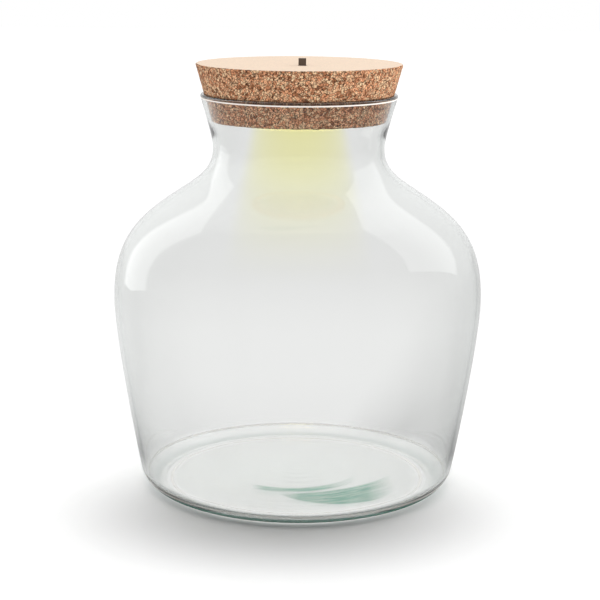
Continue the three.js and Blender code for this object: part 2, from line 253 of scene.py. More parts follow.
def add(tree, kind, inputs=None, stops=(), **settings):
    """Adds a shader node with its settings. Each input is a value, or the node or socket
    that feeds it. Stops are a colour ramp's (position, linear colour) pairs."""
    node = tree.nodes.new("ShaderNode" + kind)
    for name, value in settings.items():
        setattr(node, name, value)
    for key, value in (inputs or {}).items():
        if isinstance(value, bpy.types.Node):
            value = next(output for output in value.outputs if output.enabled)
        if isinstance(value, bpy.types.NodeSocket):
            tree.links.new(value, node.inputs[key])
        else:
            node.inputs[key].default_value = value
    for index, (position, value) in enumerate(stops):
        elements = node.color_ramp.elements
        element = elements[index] if index < 2 else elements.new(position)
        element.position, element.color = position, value
    return node


def calc(tree, operation, *values, **settings):
    """Does arithmetic on values, in order."""
    return add(tree, "Math", dict(enumerate(values)), operation=operation, **settings)


def vector_calc(tree, operation, *values):
    """Does arithmetic on places or directions, in order."""
    return add(tree, "VectorMath", dict(enumerate(values)), operation=operation)


def blend(tree, share, low, high, **settings):
    """Mixes two colours: the low one at a share of 0, the high one at 1."""
    return add(tree, "Mix", {0: share, 6: low, 7: high}, data_type="RGBA", **settings)


def ramp(tree, value, start, end, low=0.0, high=1.0, **settings):
    """Goes from low to high while a value goes from start to end."""
    return add(tree, "MapRange", {
        "Value": value, "From Min": start, "From Max": end, "To Min": low, "To Max": high,
    }, **settings)


def off_axis(tree, where, x=0.0, y=0.0):
    """Level distance of a place from an upright line."""
    return vector_calc(tree, "DISTANCE", vector_calc(tree, "MULTIPLY", where, (1, 1, 0)), (x, y, 0))


def graded(tree, value, stops):
    """Looks a value up in a colour ramp."""
    return add(tree, "ValToRGB", {"Fac": value}, stops)


def clouds(tree, where, rate, detail, **sockets):
    """Noise with a number of swells per metre."""
    return add(tree, "TexNoise", {"Vector": where, "Scale": rate, "Detail": detail, **sockets})


def bumps(tree, height, strength, distance):
    """A normal bent by the slope of a height."""
    return add(tree, "Bump", {"Height": height, "Strength": strength, "Distance": distance})


def surfaced(material, sockets):
    """Gives a material its surface and returns it."""
    tree = material.node_tree
    add(tree, "OutputMaterial", {"Surface": add(tree, "BsdfPrincipled", sockets)})
    return material


def seen_through_glass(tree):
    """1 for light that reaches the eye by way of clear glass alone, or else 0."""
    path = add(tree, "LightPath")
    straight = calc(tree, "LESS_THAN", path.outputs["Diffuse Depth"], 0.5)
    return calc(tree, "MULTIPLY", path.outputs["Is Singular Ray"], straight)


def flagged_room(tree, studio, direction):
    """Radiance of the room that the glass mirrors, by direction from the jar: white straight
    behind it, with dark flags at its sides that draw its edges."""
    split = add(tree, "SeparateXYZ", {"Vector": direction})
    along = calc(tree, "MULTIPLY_ADD", split.outputs["Y"], 0.5, 0.5)
    depth = graded(tree, along, [
        (0.0, grey(studio.front)),
        (0.3, grey(studio.flag)),
        (0.62, grey(studio.flag)),
        (0.85, grey(0.88)),
        (0.985, grey(1)),
    ])
    right = ramp(tree, split.outputs["X"], 0.25, 0.56, 1.0, studio.right_share)
    return calc(tree, "MULTIPLY", depth, right)


def place(obj, body, slot, *nodes):
    """Gives a finished piece its body, hides the nodes that it stands for and lets the
    soft-boxes light it. The slot is not used."""
    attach(obj, body)
    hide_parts(*nodes)
    bpy.data.collections[SOFTBOX_LIT].objects.link(obj)


def new_object(name, mesh, material=None):
    obj = bpy.data.objects.new(name, mesh)
    bpy.context.scene.collection.objects.link(obj)
    if material:
        mesh.materials.append(material)
    return obj


def cubic(start, start_way, end, end_way, reach, steps):
    """Points along a cubic curve between two places, with the direction at each of them.
    Reach is how far it keeps its direction at its start and at its end."""
    p0, p3 = np.array(start, float), np.array(end, float)
    p1 = p0 + np.array(start_way) * reach[0]
    p2 = p3 - np.array(end_way) * reach[1]
    t = np.linspace(0, 1, steps + 1)[:, None]
    s = 1 - t
    points = s**3 * p0 + 3 * s * s * t * p1 + 3 * s * t * t * p2 + t**3 * p3
    ways = s * s * (p1 - p0) + 2 * s * t * (p2 - p1) + t * t * (p3 - p2)
    return points, ways / np.linalg.norm(ways, axis=1)[:, None]


def lathe(name, profile, sides, closed=False):
    """Mesh of revolution about Z. The (radius, height) profile runs anticlockwise, so that
    its faces look outwards; it starts and ends on the axis, or closes on itself."""
    profile = np.asarray(profile, float)
    turns = np.linspace(0, 2 * math.pi, sides, endpoint=False)
    on_axis = profile[:, 0] < 1e-9
    ring_start, vertices, faces = [], [], []
    for (radius, height), single in zip(profile, on_axis):
        ring_start.append(len(vertices))
        if single:
            vertices.append((0.0, 0.0, height))
        else:
            vertices.extend((radius * math.cos(a), radius * math.sin(a), height) for a in turns)
    count = len(profile)
    for i in range(count if closed else count - 1):
        j = (i + 1) % count
        a, b = ring_start[i], ring_start[j]
        for k in range(sides):
            n = (k + 1) % sides
            if on_axis[i]:
                faces.append((a, b + n, b + k))
            elif on_axis[j]:
                faces.append((a + k, a + n, b))
            else:
                faces.append((a + k, a + n, b + n, b + k))
    mesh = bpy.data.meshes.new(name)
    mesh.from_pydata(vertices, [], faces)
    mesh.polygons.foreach_set("use_smooth", [True] * len(mesh.polygons))
    return mesh


def vertex_arrays(mesh):
    """Places and normals of a mesh's vertices, as two arrays with a row for each."""
    places = np.empty(len(mesh.vertices) * 3)
    normals = np.empty(len(mesh.vertices) * 3)
    mesh.vertices.foreach_get("co", places)
    mesh.vertex_normals.foreach_get("vector", normals)
    return places.reshape(-1, 3), normals.reshape(-1, 3)


def rounded_box(name, low, high, radius):
    """Box between two corners with rounded edges."""
    bm = bmesh.new()
    bmesh.ops.create_cube(bm, size=1.0)
    low, high = Vector(low), Vector(high)
    bmesh.ops.scale(bm, vec=high - low, verts=bm.verts)
    bmesh.ops.translate(bm, vec=(low + high) / 2, verts=bm.verts)
    bmesh.ops.bevel(
        bm, geom=bm.edges[:], offset=radius, segments=3, profile=0.5, affect="EDGES"
    )
    mesh = bpy.data.meshes.new(name)
    bm.to_mesh(mesh)
    bm.free()
    return mesh


def carve(obj, cutters):
    """Cuts closed meshes out of an object and removes them."""
    for cutter in cutters:
        modifier = obj.modifiers.new("cut", "BOOLEAN")
        modifier.operation = "DIFFERENCE"
        modifier.solver = "MANIFOLD"
        modifier.object = cutter
    settle(obj)
    for cutter in cutters:
        bpy.data.meshes.remove(cutter.data)


def settle(obj):
    """Replaces an object's mesh by the result of its modifiers."""
    graph = bpy.context.evaluated_depsgraph_get()
    mesh = bpy.data.meshes.new_from_object(obj.evaluated_get(graph))
    old = obj.data
    obj.modifiers.clear()
    obj.data = mesh
    bpy.data.meshes.remove(old)
    mesh.name = obj.name


# ------------------------------------------------------------------ materials


# Marks in the glass, in mm. The painted green marks are a crescent between two circles and an
# arc of a ring in the floor, painted shade where light that the base holds by reflection shows
# dark green, and the other marks are bands of heights, or of radius for the foot.
# Of four stops, a mark is full between the middle two and gone at the outer two. Of two,
# it is gone at the first and full at the second.
CRESCENT_OUTER_CENTRE, CRESCENT_OUTER = (25.1, -20.3), (48.2, 46.2)
CRESCENT_INNER_CENTRE, CRESCENT_INNER = (-12.4, 39.6), (89.0, 91.5)
CRESCENT_ACROSS = (-20, 2, 50, 70)
ARC_CENTRE, ARC_RING = (-3.2, 7.9), (46, 48.5, 53, 55)
ARC_ACROSS = (-32, -22, 20, 44)
CRESCENT_HEIGHTS = (2.9, 3.0, 10, 11)
# Band of painted shade on the heel's outer face.
PAINTED_HEEL_SHADE_BAND = (0.4, 0.9, 5.2, 6.4)
# A painted light band round the heel's outer face, between its dark lines.
PAINTED_LIGHT_HEEL_BAND = (6.6, 7.3, 8.4, 9.2)
WORN_FOOT, FOOT_HEIGHT = (88.8, 89.8, 91.2, 92.2), (0.2, 0.1)
# The lip's band of heights and the radius outside which it lies: a painted highlight, the thin
# white line along the lip's outer edge.
PAINTED_LIP_HIGHLIGHT, LIP_RADIUS = (276.1, 276.3, 277.0, 277.2), 67.2

# A cone that parts the heel's outer face from its inner one: radius on the floor in mm, and
# how far it widens with each mm of height.
HEEL_PARTING, HEEL_WIDENING = 96.5, 1.6

# Share of painted dark green on the heel, and share of matt white in the worn foot ring and the
# heel's painted light band.
GREEN_SHARE, WEAR_AND_PAINTED_LIGHT_SHARE = 0.85, 0.35
# Spacing of the streaks in the painted crescent and arc.
CRESCENT_STREAKS_PER_METRE = (420, 45, 1)


def soda_lime_glass(settings):
    """Blown soda-lime glass: nearly colourless across a thin wall, green where light runs
    far through it. It is fire-polished, so it has no roughness, except for matt white bands:
    a painted highlight along the outer edge of the lip, which shows as a thin white line, a
    painted light band round the heel, and the worn foot ring. A painted dark green band stands
    for the shade where the heel turns under, and a painted green crescent and arc in the floor
    stand for light that the base holds by reflection and that shows dark green."""
    material, tree, where = new_material("clear_soda_lime_glass_blown")
    spot = add(tree, "SeparateXYZ", {"Vector": where})
    x, y, z = (spot.outputs[axis] for axis in "XYZ")

    def distance(centre):
        return off_axis(tree, where, *[offset * MM for offset in centre])

    def rising(value, stops):
        gone, full = (stop * MM for stop in stops)
        return ramp(tree, value, gone, full)

    def all_of(*marks):
        shown = marks[0]
        for mark in marks[1:]:
            shown = calc(tree, "MULTIPLY", shown, mark)
        return shown

    def between(value, stops):
        return all_of(rising(value, stops[:2]), rising(value, stops[:1:-1]))

    radius, inner = distance((0, 0)), distance(CRESCENT_INNER_CENTRE)
    drawn = add(tree, "Mapping", {
        "Vector": add(tree, "CombineXYZ", {"X": inner, "Y": x}),
        "Scale": CRESCENT_STREAKS_PER_METRE,
    })
    streaks = clouds(tree, drawn, 1.0, 3.0)
    crescent = all_of(
        rising(distance(CRESCENT_OUTER_CENTRE), CRESCENT_OUTER),
        rising(inner, CRESCENT_INNER),
        between(x, CRESCENT_ACROSS),
    )
    arc = all_of(
        between(distance(ARC_CENTRE), ARC_RING),
        between(x, ARC_ACROSS),
        calc(tree, "LESS_THAN", y, 0.0),
    )
    # Painted shade: a streaked green crescent and arc in the floor, where the base holds light by
    # reflection.
    painted_green_marks = all_of(
        calc(tree, "MAXIMUM", crescent, arc),
        ramp(tree, streaks, 0.3, 0.6, 0.55, 1.0),
        between(z, CRESCENT_HEIGHTS),
    )
    parting = calc(tree, "MULTIPLY_ADD", z, HEEL_WIDENING, HEEL_PARTING * MM)
    outside = calc(tree, "GREATER_THAN", radius, parting)
    inwards = add(tree, "NewGeometry").outputs["Backfacing"]
    entering = calc(tree, "SUBTRACT", GREEN_SHARE, inwards, use_clamp=True)
    # Painted shade: a dark green diffuse band on the heel's outer face, seen from outside only.
    green = all_of(between(z, PAINTED_HEEL_SHADE_BAND), outside, entering)
    # Painted highlight: a matt white band along the lip's outer edge stands for the thin white line
    # of light there.
    lip = all_of(
        between(z, PAINTED_LIP_HIGHLIGHT), calc(tree, "GREATER_THAN", radius, LIP_RADIUS * MM)
    )
    foot = all_of(between(radius, WORN_FOOT), rising(z, FOOT_HEIGHT))
    # Worn foot ring, and a painted light band round the heel's outer face; with the lip's painted
    # highlight they take the matt white.
    worn = calc(tree, "MAXIMUM", foot, all_of(between(z, PAINTED_LIGHT_HEEL_BAND), outside))
    matt = calc(tree, "MAXIMUM", lip, all_of(worn, WEAR_AND_PAINTED_LIGHT_SHARE))
    polished = add(tree, "BsdfPrincipled", {
        "Base Color": blend(tree, painted_green_marks, linear(settings.clear), linear(settings.crescent_shade)),
        "Roughness": 0.0,
        "IOR": 1.5,
        "Transmission Weight": 1.0,
    })
    # Dark green of the heel's painted shade.
    painted_heel_shade_diffuse = add(tree, "BsdfDiffuse", {"Color": linear(settings.painted_heel_shade)})
    # Matt white for the lip's painted highlight, the heel's painted light band and the worn foot
    # ring.
    painted_light_and_wear_diffuse = add(tree, "BsdfDiffuse", {"Color": linear(settings.painted_light_and_wear_white)})
    with_painted_heel_shade = add(tree, "MixShader", {0: green, 1: polished, 2: painted_heel_shade_diffuse})
    surface = add(tree, "MixShader", {0: matt, 1: with_painted_heel_shade, 2: painted_light_and_wear_diffuse})
    inside = add(tree, "VolumeAbsorption", {
        "Color": linear(settings.tint), "Density": settings.density,
    })
    add(tree, "OutputMaterial", {"Surface": surface, "Volume": inside})
    return material


def agglomerated_cork(settings):
    """Granules pressed with binder, then cut and sanded: matt, each granule its own brown.
    The dark pores, gaps and creases between them are partly their own colour and partly painted
    shade in the crevices, and a painted shade line lies just above the jar's lip. Upward faces
    are pale, partly from the dust that sanding leaves and partly as painted light from above."""
    material, tree, where = new_material("agglomerated_cork_sanded")
    rate = 1 / settings.granule
    wobble = clouds(tree, where, rate * 0.9, 3.0)
    push = (settings.granule * 1.6,) * 3
    pushed = vector_calc(tree, "MULTIPLY_ADD", wobble.outputs["Color"], push, where)
    granules = add(tree, "TexVoronoi", {"Vector": pushed, "Scale": rate})
    edges = add(
        tree, "TexVoronoi", {"Vector": pushed, "Scale": rate}, feature="DISTANCE_TO_EDGE"
    )
    tone = add(tree, "SeparateColor", {"Color": granules.outputs["Color"]})
    browns = graded(tree, tone, [
        (0.0, linear(settings.dark)),
        (0.3, linear(settings.middle)),
        (0.7, linear(settings.light)),
        (1.0, linear(settings.middle)),
    ])
    fine = clouds(tree, where, rate * 3.2, 3.0, Roughness=0.65)
    shade = graded(tree, fine, [(0.34, linear("#a2978e")), (0.56, grey(1))])
    shaded = blend(tree, 0.9, browns, shade, blend_type="MULTIPLY")
    folds = clouds(tree, where, rate * 0.75, 2.0)
    off_fold = calc(tree, "ABSOLUTE", calc(tree, "SUBTRACT", folds, 0.5))
    creases = graded(tree, off_fold, [(0.006, grey(0.9)), (0.03, grey(0))])
    # Gaps, pores and creases: partly the cork's own dark pores, partly painted shade in the
    # crevices.
    dark_pores_and_painted_shade = graded(tree, edges, [(0.02, grey(1)), (0.12, grey(0))])
    pores = graded(tree, fine, [(0.33, grey(1)), (0.4, grey(0))])
    z = add(tree, "SeparateXYZ", {"Vector": where}).outputs["Z"]
    # Painted shade: a dark line on the cork just above the jar's lip, where the gap lies in shade.
    line = ramp(tree, z, settings.painted_shade_height - 2 * MM, settings.painted_shade_height + 2 * MM)
    painted_lip_shade = graded(tree, line, [
        (0.1, grey(0)), (0.3, grey(1)), (0.75, grey(1)), (0.9, grey(0)),
    ])
    for marks, share in ((pores, 1.0), (creases, 1.0), (painted_lip_shade, 0.75)):
        dark_pores_and_painted_shade = blend(tree, share, dark_pores_and_painted_shade, marks, blend_type="LIGHTEN")
    side = blend(tree, dark_pores_and_painted_shade, shaded, linear(settings.gap))
    facing = add(tree, "SeparateXYZ", {"Vector": add(tree, "NewGeometry").outputs["Normal"]})
    # Upward faces paler: partly sanding dust, partly painted light from above.
    sanded = graded(tree, facing.outputs["Z"], [(0.72, grey(0)), (0.92, grey(1))])
    dust_and_painted_top_light = blend(tree, 0.12, linear(settings.top), side)
    height = calc(tree, "MULTIPLY_ADD", fine, 0.4, edges)
    return surfaced(material, {
        "Base Color": blend(tree, sanded, side, dust_and_painted_top_light),
        "Roughness": 0.92,
        "Specular IOR Level": 0.3,
        "Normal": bumps(tree, height, 0.5, settings.relief),
    })


def moulded_plastic(name, code, roughness, grain, depth):
    """Moulded plastic: even colour, with the fine spark-eroded texture of its mould seen as
    a soft, slightly uneven sheen. grain is the texture's spacing."""
    material, tree, where = new_material(name)
    texture = clouds(tree, where, 1 / grain, 3.0)
    cloud = clouds(tree, where, 1 / (30 * grain), 2.0)
    full = linear(code)
    tinted = graded(tree, cloud, [(0.35, dimmed(full, 0.9)), (0.65, full)])
    sheen = calc(tree, "MULTIPLY_ADD", cloud, 0.16, roughness - 0.08)
    bump = bumps(tree, texture, 0.35, depth)
    return surfaced(material, {
        "Base Color": tinted, "Roughness": sheen, "IOR": 1.5, "Normal": bump,
    })


def lit_frosted_lens(settings):
    """Frosted acrylic with the lamp lit behind it: glows warm, brightest over the ring of
    light chips, and its etched face scatters what falls on it."""
    material, tree, where = new_material("frosted_acrylic_lit")
    frost = clouds(tree, where, 1 / (0.6 * MM), 2.0)
    share = calc(tree, "DIVIDE", off_axis(tree, where), LENS_HIGH.x)
    warm = linear(settings.warm)
    faint = dimmed(warm, 0.55)
    return surfaced(material, {
        "Base Color": linear(settings.lens),
        "Roughness": 0.5,
        "Emission Color": graded(tree, share, [(0.0, faint), (0.6, warm), (1.0, faint)]),
        "Emission Strength": settings.glow,
        "Normal": bumps(tree, frost, 0.3, 0.08 * MM),
    })


def solder_masked_board():
    """White solder mask over copper tracks: glossy, with the tracks as faint raised bands."""
    material, tree, where = new_material("circuit_board_white_solder_mask")
    tracks = add(
        tree,
        "TexBrick",
        {
            "Vector": where,
            "Scale": 1 / (9 * MM),
            "Mortar Size": 0.06,
            "Mortar Smooth": 0.1,
            "Color1": linear("#efefec"),
            "Color2": linear("#e4e5e0"),
            "Mortar": linear("#cfd2cb"),
        },
        offset=0.5,
        squash=0.6,
        squash_frequency=3,
    )
    raised = bumps(tree, tracks.outputs["Fac"], 0.6, 0.05 * MM)
    return surfaced(material, {"Base Color": tracks, "Roughness": 0.32, "Normal": raised})


def phosphor_chip(settings):
    """White moulded case with a round well of yellow phosphor, lit."""
    material, tree, where = new_material("led_package_phosphor_lit")
    share_of_chip = where.node.outputs["Generated"]
    from_middle = off_axis(tree, share_of_chip, 0.5, 0.5)
    well = graded(tree, from_middle, [(0.36, grey(1)), (0.4, grey(0))])
    return surfaced(material, {
        "Base Color": blend(tree, well, linear("#f4f3ee"), linear("#f1cf4a")),
        "Roughness": 0.35,
        "Emission Color": blend(tree, well, grey(0), linear(settings.warm)),
        "Emission Strength": settings.glow,
    })


def shrink_jacket():
    """Plain glossy film shrunk over a steel can, with bare steel at both ends."""
    material, tree, where = new_material("cell_shrink_film_over_steel")
    film_end = 21.4 * MM
    along = add(tree, "SeparateXYZ", {"Vector": where}).outputs["X"]
    ends = calc(tree, "GREATER_THAN", calc(tree, "ABSOLUTE", along), film_end)
    scuffs = clouds(tree, where, 1 / (1.5 * MM), 4.0)
    film = graded(tree, scuffs, [(0.3, linear("#3f5a4a")), (0.7, linear("#54745f"))])
    return surfaced(material, {
        "Base Color": blend(tree, ends, film, linear("#b9b8b2")),
        "Metallic": ends,
        "Roughness": calc(tree, "MULTIPLY_ADD", scuffs, 0.2, 0.2),
    })


def nickel_strip():
    """Nickel-plated spring strip: bright, with the fine long lines of rolling."""
    material, tree, where = new_material("nickel_plated_strip_rolled")
    stretched = add(tree, "Mapping", {"Vector": where, "Scale": (1.0, 1.0, 0.05)})
    lines = clouds(tree, stretched, 1 / (0.15 * MM), 3.0)
    shown = graded(tree, lines, [(0.3, linear("#b5b3ac")), (0.7, linear("#d6d4cd"))])
    sheen = calc(tree, "MULTIPLY_ADD", lines, 0.2, 0.18)
    return surfaced(material, {"Base Color": shown, "Metallic": 1.0, "Roughness": sheen})


# ------------------------------------------------------------------ jar


# How far each stretch of the outline keeps its direction at its start and at its end.
REACHES = {
    "under": (0.030, 0.030),
    "heel": (0.0125, 0.0045),
    "wall": (0.035, 0.024),
    "turn": (0.0415, 0.0355),
    "neck": (0.0175, 0.0145),
    "flare": (0.008, 0.010),
    "seat": (0.008, 0.008),
    "corner": (0.012, 0.0045),
    "floor": (0.030, 0.030),
}
RIPPLE_FADE = 20 * MM


def way(lean):
    """Unit vector of an outline that leans outwards from straight up by an angle."""
    return (math.sin(lean), math.cos(lean))


def jar_profile(jar, cork):
    """Closed half outline of the jar, from the axis under the base to the axis above it."""
    up, out = way(0), way(math.pi / 2)
    heel_way, shoulder_way = way(jar.heel_lean), way(jar.shoulder_lean)
    throat, foot, lip = Vector(jar.throat), Vector(jar.foot), Vector(jar.lip)
    heel = cubic(foot, out, jar.heel, heel_way, REACHES["heel"], 24)
    wall = cubic(jar.heel, heel_way, jar.belly, up, REACHES["wall"], 40)
    turn = cubic(jar.belly, up, jar.shoulder, shoulder_way, REACHES["turn"], 48)
    neck = cubic(jar.shoulder, shoulder_way, throat, up, REACHES["neck"], 26)
    flare = cubic(throat, up, lip, way(jar.lip_lean), REACHES["flare"], 20)

    def inside(curve):
        points, ways = curve
        return points + jar.wall * np.stack([-ways[:, 1], ways[:, 0]], 1)

    bead = jar.lip_thickness / 2
    turns = np.linspace(0, math.pi, 13)[1:-1]
    lip_top = np.stack([lip.x - bead + bead * np.cos(turns), lip.y + bead * np.sin(turns)], 1)
    foot_inside = (foot.x - jar.foot_width, 0)
    under = cubic((0, jar.push_up), out, foot_inside, out, REACHES["under"], 60)
    floor_edge = (jar.floor_radius, jar.base_thickness)
    floor = cubic((0, jar.crown), out, floor_edge, out, REACHES["floor"], 140)[0]
    fade = np.clip((jar.floor_radius - floor[:, 0]) / RIPPLE_FADE, 0, 1)
    rings = np.cos(2 * math.pi * floor[:, 0] / jar.ripple_pitch)
    floor[:, 1] += jar.ripple_depth * fade * rings
    corner = cubic(floor_edge, out, inside(wall)[0], heel_way, REACHES["corner"], 20)[0]
    taper = math.atan2(cork.top_radius - cork.bottom_radius, CORK_HIGH.z - CORK_LOW.z)
    seat_foot = (cork.bottom_radius + GAP, CORK_LOW.z)
    narrow = (throat.x - jar.wall, throat.y)
    seat = cubic(narrow, up, seat_foot, way(taper), REACHES["seat"], 12)[0]
    seat_wall = np.linspace(seat_foot, (lip.x - jar.lip_thickness, lip.y), 8)
    return np.concatenate([
        under[0],
        heel[0],
        wall[0][1:],
        turn[0][1:],
        neck[0][1:],
        flare[0][1:],
        lip_top,
        seat_wall[::-1],
        seat[::-1][1:],
        inside(neck)[::-1][1:],
        inside(turn)[::-1][1:],
        inside(wall)[::-1][1:],
        corner[::-1][1:],
        floor[::-1][1:],
    ])


class TERRARIUM_OT_glass_jar(bpy.types.Operator):
    """Builds the glass jar as one fine shell of revolution"""

    bl_idname = "terrarium.glass_jar"
    bl_label = "Glass Jar"

    def execute(self, context):
        jar, cork = context.scene.terrarium_jar, context.scene.terrarium_cork
        mesh = lathe("glass_jar_blown", jar_profile(jar, cork), jar.facets)
        obj = new_object("glass_jar_blown", mesh, soda_lime_glass(jar))
        place(obj, "jar", "clear_glass", "glass_jar")
        return {"FINISHED"}


# ------------------------------------------------------------------ cork stopper


def cork_profile(cork, step):
    """Half outline of the cork with its lamp pocket, at the spacing that carries relief."""
    top, bottom = CORK_HIGH.z, CORK_LOW.z
    pocket = HOUSING_HIGH.x + GAP
    ceiling = bottom + 27 * MM
    edge = cork.round_over

    def run(a, b, spacing=step):
        count = max(2, int(math.dist(a, b) / spacing))
        return np.linspace(a, b, count + 1)[:-1]

    side_way = np.array([cork.top_radius - cork.bottom_radius, top - bottom])
    side_way = side_way / np.linalg.norm(side_way)
    side_foot = np.array([cork.bottom_radius, bottom]) + side_way * edge
    side_head = np.array([cork.top_radius, top]) - side_way * edge
    return np.concatenate([
        [(0.0, ceiling)],
        run((step, ceiling), (pocket, ceiling), 3 * MM),
        run((pocket, ceiling), (pocket, bottom), 3 * MM),
        run((pocket, bottom), (cork.bottom_radius - edge, bottom)),
        run((cork.bottom_radius - edge, bottom), side_foot, edge / 3),
        run(side_foot, side_head),
        run(side_head, (cork.top_radius - edge, top), edge / 3),
        run((cork.top_radius - edge, top), (step, top)),
        [(step, top), (0.0, top)],
    ])


def granule_relief(mesh, cork):
    """Sinks the gaps between granules and sets each granule's face a little in or out."""
    gap_width, gap_share, stand_share, pit_share = 0.28, 0.55, 0.3, 0.6
    warp_rate, warp_depth, pit_rate, pit_start = 0.9, 0.45, 2.6, 0.25
    apart, faces_up = 7.3, 0.8
    warp_seed = 1
    noise.seed_set(warp_seed)
    places, normals = vertex_arrays(mesh)
    radius = np.hypot(places[:, 0], places[:, 1])
    in_pocket = (radius < HOUSING_HIGH.x + MM) & (places[:, 2] < CORK_HIGH.z - MM)
    sink = np.zeros(len(places))
    for i in np.flatnonzero(~in_pocket):
        where = Vector(places[i]) / cork.granule
        where += noise.noise_vector(where * warp_rate) * warp_depth
        distances, centres = noise.voronoi(where)
        gap = max(0.0, 1 - (distances[1] - distances[0]) / gap_width)
        stand = noise.cell(centres[0] * apart)
        pits = max(0.0, noise.noise(where * pit_rate) - pit_start)
        sink[i] = gap_share * gap + stand_share * stand + pit_share * pits
    depth = np.where(normals[:, 2] > faces_up, cork.top_relief, cork.relief)
    places -= normals * (sink * depth)[:, None]
    mesh.vertices.foreach_set("co", places.ravel())
    mesh.update()


class TERRARIUM_OT_cork_stopper(bpy.types.Operator):
    """Builds the cork stopper with granule relief, its lamp pocket and the switch slot"""

    bl_idname = "terrarium.cork_stopper"
    bl_label = "Cork Stopper"

    def execute(self, context):
        cork = context.scene.terrarium_cork
        step = cork.grid * 1
        sides = int(2 * math.pi * cork.top_radius / step)
        mesh = lathe("cork_stopper_granular", cork_profile(cork, step), sides)
        granule_relief(mesh, cork)
        obj = new_object("cork_stopper_granular", mesh, agglomerated_cork(cork))
        centre = (SWITCH_LOW + SWITCH_HIGH) / 2
        half_x = (LEVER_HIGH.x - LEVER_LOW.x) / 2 + GAP
        half_y = (LEVER_HIGH.y - LEVER_LOW.y + SWITCH_TRAVEL) / 2 + GAP
        slot = rounded_box(
            "slot",
            (centre.x - half_x, centre.y - half_y, CORK_HIGH.z - 8 * MM),
            (centre.x + half_x, centre.y + half_y, CORK_HIGH.z + 3 * MM),
            GAP,
        )
        bore_radius, bore_low = 9.6 * MM, HOUSING_HIGH.z - 15 * MM
        bore_high = HOUSING_HIGH.z + GAP
        bore_profile = [(0, bore_low), (bore_radius, bore_low)]
        bore_profile += [(bore_radius, bore_high), (0, bore_high)]
        bore = lathe("bore", bore_profile, 48)
        bore.transform(Matrix.Translation((centre.x, centre.y, 0)))
        carve(obj, [new_object("slot", slot), new_object("bore", bore)])
        place(obj, "jar", "agglomerated_cork", "cork_stopper")
        return {"FINISHED"}


# ------------------------------------------------------------------ switch lever


class TERRARIUM_OT_switch_lever(bpy.types.Operator):
    """Builds the switch lever with its rounded edges and finger ribs"""

    bl_idname = "terrarium.switch_lever"
    bl_label = "Switch Lever"

    ribs = 3

    def execute(self, context):
        low, high = LEVER_LOW, LEVER_HIGH
        lamp = context.scene.terrarium_lamp
        plastic = moulded_plastic("abs_dark_moulded", lamp.lever, 0.42, 0.25 * MM, 0.02 * MM)
        mesh = rounded_box("switch_lever_ribbed", low, high, 0.25 * MM)
        obj = new_object("switch_lever_ribbed", mesh, plastic)
        pitch = (high.y - low.y) / (2 * self.ribs - 1)
        grooves = []
        for rib in range(self.ribs - 1):
            start = low.y + pitch * (1 + 2 * rib)
            groove = rounded_box(
                "groove",
                (low.x - MM, start, high.z - 0.45 * MM),
                (high.x + MM, start + pitch, high.z + MM),
                0.15 * MM,
            )
            grooves.append(new_object("groove", groove))
        carve(obj, grooves)
        place(obj, "switch", "black_plastic", "switch_lever")
        return {"FINISHED"}


# ------------------------------------------------------------------ lamp


def refinish(node, material, bevel=0.15 * MM):
    """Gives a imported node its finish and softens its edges."""
    obj = frame["nodes"][node]
    obj.data.materials.clear()
    obj.data.materials.append(material)
    if bevel:
        modifier = obj.modifiers.new("soft_edges", "BEVEL")
        modifier.width = bevel
        modifier.segments = 2
        modifier.limit_method = "ANGLE"
        modifier.angle_limit = math.radians(40)


